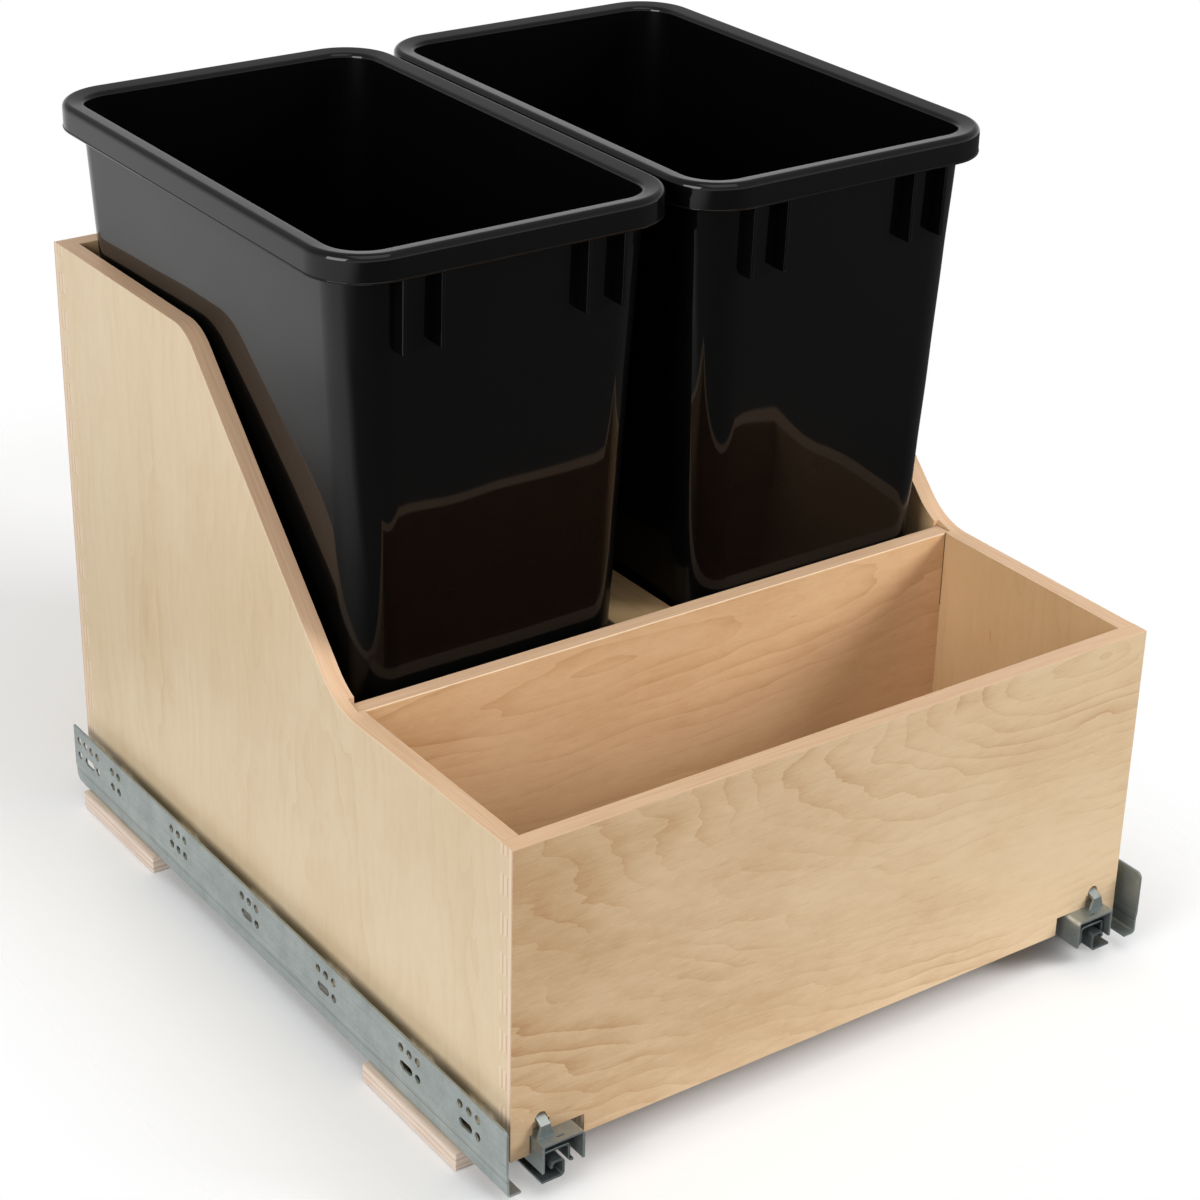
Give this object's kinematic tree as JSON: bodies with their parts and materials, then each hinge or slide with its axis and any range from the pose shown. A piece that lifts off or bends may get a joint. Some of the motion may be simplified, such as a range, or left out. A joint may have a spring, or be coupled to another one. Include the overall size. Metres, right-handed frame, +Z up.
{
  "type": "pull out bin frame",
  "caption": "Dovetailed plywood pull-out box with sloped sides on concealed undermount slides, carrying tall black lift-out waste bins behind a low rear tray.",
  "frame": {"origin": "centre of the part's footprint, on the surface that the spacer blocks stand on", "axes": "+Z up, -Y the way the box is pulled out, +X to the right of a person standing in front of it"},
  "size_m": [0.492, 0.5454, 0.5045],
  "materials": {
    "maple_panel": "clear satin",
    "tan_panel": "clear satin",
    "pale_panel": "clear satin",
    "block_plywood": "raw",
    "black_bin": "gloss black",
    "zinc_steel": "zinc plated",
    "dark_zinc_steel": "zinc plated",
    "screw_steel": "zinc plated",
    "white_nylon": "moulded",
    "grey_nylon": "moulded",
    "grey_clip": "moulded",
    "black_lever": "moulded"
  },
  "bodies": {
    "cabinet_mount": {"cabinet_rail_left": "zinc_steel", "cabinet_rail_right": "zinc_steel", "fixed_channel_left": "dark_zinc_steel", "fixed_channel_right": "dark_zinc_steel", "rail_rivets": "dark_zinc_steel", "block_front_left": "block_plywood", "block_front_right": "block_plywood", "block_back_left": "block_plywood", "block_back_right": "block_plywood", "block_screws": "screw_steel"},
    "drawer": {"side_panel_left": "maple_panel", "side_panel_right": "maple_panel", "front_panel": "maple_panel", "back_panel": "tan_panel", "divider": "tan_panel", "bottom_panel": "pale_panel", "bin_spacer_rail": "pale_panel", "drawer_member_left": "zinc_steel", "drawer_member_right": "zinc_steel", "front_clip_left": "grey_clip", "front_clip_right": "grey_clip", "lever_pivots": "screw_steel", "clip_screws": "screw_steel"},
    "middle_left": {"middle_member_left": "dark_zinc_steel"},
    "lower_carriage_left": {"lower_cage_left": "white_nylon", "lower_rollers_left": "grey_nylon"},
    "upper_carriage_left": {"upper_cage_left": "white_nylon", "upper_rollers_left": "grey_nylon"},
    "lever_left": {"release_lever_left": "black_lever"},
    "bin_body_left": {"bin_left": "black_bin"},
    "middle_right": {"middle_member_right": "dark_zinc_steel"},
    "lower_carriage_right": {"lower_cage_right": "white_nylon", "lower_rollers_right": "grey_nylon"},
    "upper_carriage_right": {"upper_cage_right": "white_nylon", "upper_rollers_right": "grey_nylon"},
    "lever_right": {"release_lever_right": "black_lever"},
    "bin_body_right": {"bin_right": "black_bin"}
  },
  "joints": [
    {"name": "pull_out", "type": "slide", "parent": "cabinet_mount", "child": "drawer", "axis": [0, -1, 0], "range_m": [0, 0.5]},
    {"name": "middle_slide_left", "type": "slide", "parent": "cabinet_mount", "child": "middle_left", "axis": [0, -1, 0], "range_m": [0, 0.25]},
    {"name": "lower_carriage_slide_left", "type": "slide", "parent": "cabinet_mount", "child": "lower_carriage_left", "axis": [0, -1, 0], "range_m": [0, 0.125]},
    {"name": "upper_carriage_slide_left", "type": "slide", "parent": "cabinet_mount", "child": "upper_carriage_left", "axis": [0, -1, 0], "range_m": [0, 0.375]},
    {"name": "middle_slide_right", "type": "slide", "parent": "cabinet_mount", "child": "middle_right", "axis": [0, -1, 0], "range_m": [0, 0.25]},
    {"name": "lower_carriage_slide_right", "type": "slide", "parent": "cabinet_mount", "child": "lower_carriage_right", "axis": [0, -1, 0], "range_m": [0, 0.125]},
    {"name": "upper_carriage_slide_right", "type": "slide", "parent": "cabinet_mount", "child": "upper_carriage_right", "axis": [0, -1, 0], "range_m": [0, 0.375]},
    {"name": "release_lever_left", "type": "hinge", "parent": "drawer", "child": "lever_left", "pos_m": [-0.1728, -0.22005, 0.0291], "axis": [0, 0, 1], "range_deg": [0, 10], "stiffness_Nm_per_rad": 0.05},
    {"name": "bin_lift_left", "type": "slide", "parent": "drawer", "child": "bin_body_left", "axis": [0, 0, 1], "range_m": [0, 0.48]},
    {"name": "release_lever_right", "type": "hinge", "parent": "drawer", "child": "lever_right", "pos_m": [0.1728, -0.22005, 0.0291], "axis": [0, 0, -1], "range_deg": [0, 10], "stiffness_Nm_per_rad": 0.05},
    {"name": "bin_lift_right", "type": "slide", "parent": "drawer", "child": "bin_body_right", "axis": [0, 0, 1], "range_m": [0, 0.48]}
  ],
  "couplings": [
    {"joint": "middle_slide_left", "follows": "pull_out", "ratio": 0.5},
    {"joint": "lower_carriage_slide_left", "follows": "pull_out", "ratio": 0.25},
    {"joint": "upper_carriage_slide_left", "follows": "pull_out", "ratio": 0.75},
    {"joint": "middle_slide_right", "follows": "pull_out", "ratio": 0.5},
    {"joint": "lower_carriage_slide_right", "follows": "pull_out", "ratio": 0.25},
    {"joint": "upper_carriage_slide_right", "follows": "pull_out", "ratio": 0.75}
  ]
}
